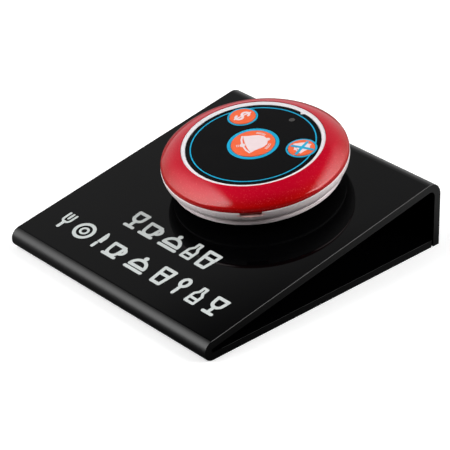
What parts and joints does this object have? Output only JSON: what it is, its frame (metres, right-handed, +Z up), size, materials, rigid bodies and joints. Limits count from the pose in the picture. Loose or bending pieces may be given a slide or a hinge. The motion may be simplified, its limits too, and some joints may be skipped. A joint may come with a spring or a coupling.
{
  "type": "table call button on stand",
  "caption": "Round wireless call button with a domed ring and press keys, stuck on a slanted stand bent from plastic sheet; each key presses a switch inside.",
  "frame": {"origin": "centre of the stand's footprint, on the table", "axes": "+X across the stand, to the right seen from the front fold; +Y from the front fold to the rear wall; +Z up"},
  "size_m": [0.1, 0.113, 0.0411],
  "materials": {
    "black_acrylic": "polished cast acrylic",
    "white_abs": "satin moulded ABS",
    "red_pearl": "glossy pearl red",
    "black_film": "satin printed film",
    "orange_key": "satin printed key top",
    "smoke_window": "smoked clear plug",
    "foam": "closed-cell foam tape",
    "board": "green solder mask",
    "switch_black": "moulded nylon",
    "switch_red": "moulded nylon",
    "steel": "nickel-plated steel",
    "cell_jacket": "printed metal jacket",
    "lamp": "diffused epoxy",
    "chip_black": "moulded epoxy package",
    "ceramic_chip": "ceramic chip"
  },
  "bodies": {
    "stand_and_housing": {"acrylic_stand": "black_acrylic", "mounting_pad": "foam", "base_cover": "white_abs", "body_shell": "white_abs", "trim_ring": "red_pearl", "membrane_overlay": "black_film", "light_window": "smoke_window", "circuit_board": "board", "switch_pins": "steel", "board_screws": "steel", "base_screws": "steel", "battery": "cell_jacket", "battery_clip_plus": "steel", "battery_clip_minus": "steel", "status_led": "lamp", "encoder_chip": "chip_black", "saw_resonator": "steel", "rf_transistor": "chip_black", "antenna_loop": "steel", "chip_resistors": "chip_black", "chip_capacitors": "ceramic_chip", "call_switch_base": "switch_black", "call_switch_cover": "steel", "bill_switch_base": "switch_black", "bill_switch_cover": "steel", "cancel_switch_base": "switch_black", "cancel_switch_cover": "steel"},
    "call_press": {"call_key": "orange_key", "call_switch_stem": "switch_red"},
    "bill_press": {"bill_key": "orange_key", "bill_switch_stem": "switch_red"},
    "cancel_press": {"cancel_key": "orange_key", "cancel_switch_stem": "switch_red"}
  },
  "joints": [
    {"name": "call_key_slide", "type": "slide", "parent": "stand_and_housing", "child": "call_press", "axis": [0, 0.1771, -0.9842], "range_m": [0, 0.0005], "stiffness_N_per_m": 1200, "springref_m": -0.0005},
    {"name": "bill_key_slide", "type": "slide", "parent": "stand_and_housing", "child": "bill_press", "axis": [0, 0.1771, -0.9842], "range_m": [0, 0.0005], "stiffness_N_per_m": 1200, "springref_m": -0.0005},
    {"name": "cancel_key_slide", "type": "slide", "parent": "stand_and_housing", "child": "cancel_press", "axis": [0, 0.1771, -0.9842], "range_m": [0, 0.0005], "stiffness_N_per_m": 1200, "springref_m": -0.0005}
  ]
}
